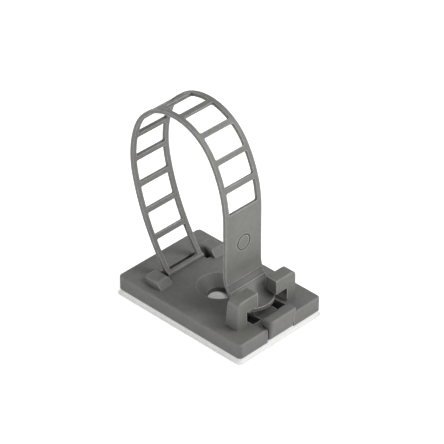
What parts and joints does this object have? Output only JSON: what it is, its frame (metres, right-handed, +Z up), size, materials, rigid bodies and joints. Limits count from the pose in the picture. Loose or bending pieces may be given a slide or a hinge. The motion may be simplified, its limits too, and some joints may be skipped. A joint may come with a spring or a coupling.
{
  "type": "adhesive cable clip",
  "caption": "Stick-on cable clip: a ladder strap loops from a flat base to a hooked latch with a thumb-released tooth and ties down a bundle of cables; countersunk screw hole, foam pad, liner.",
  "frame": {"origin": "middle of the underside of the release liner, below the screw hole", "axes": "+X along the base to the latch and its thumb tab, +Y across the strap, +Z up, away from the surface that the clip sticks to"},
  "size_m": [0.0315, 0.0198, 0.0367],
  "materials": {
    "grey_nylon": "satin moulded nylon",
    "white_foam": "closed-cell foam",
    "liner_paper": "coated paper"
  },
  "bodies": {
    "root": {"clip": "grey_nylon", "foam_pad": "white_foam", "release_liner": "liner_paper"}
  },
  "joints": []
}
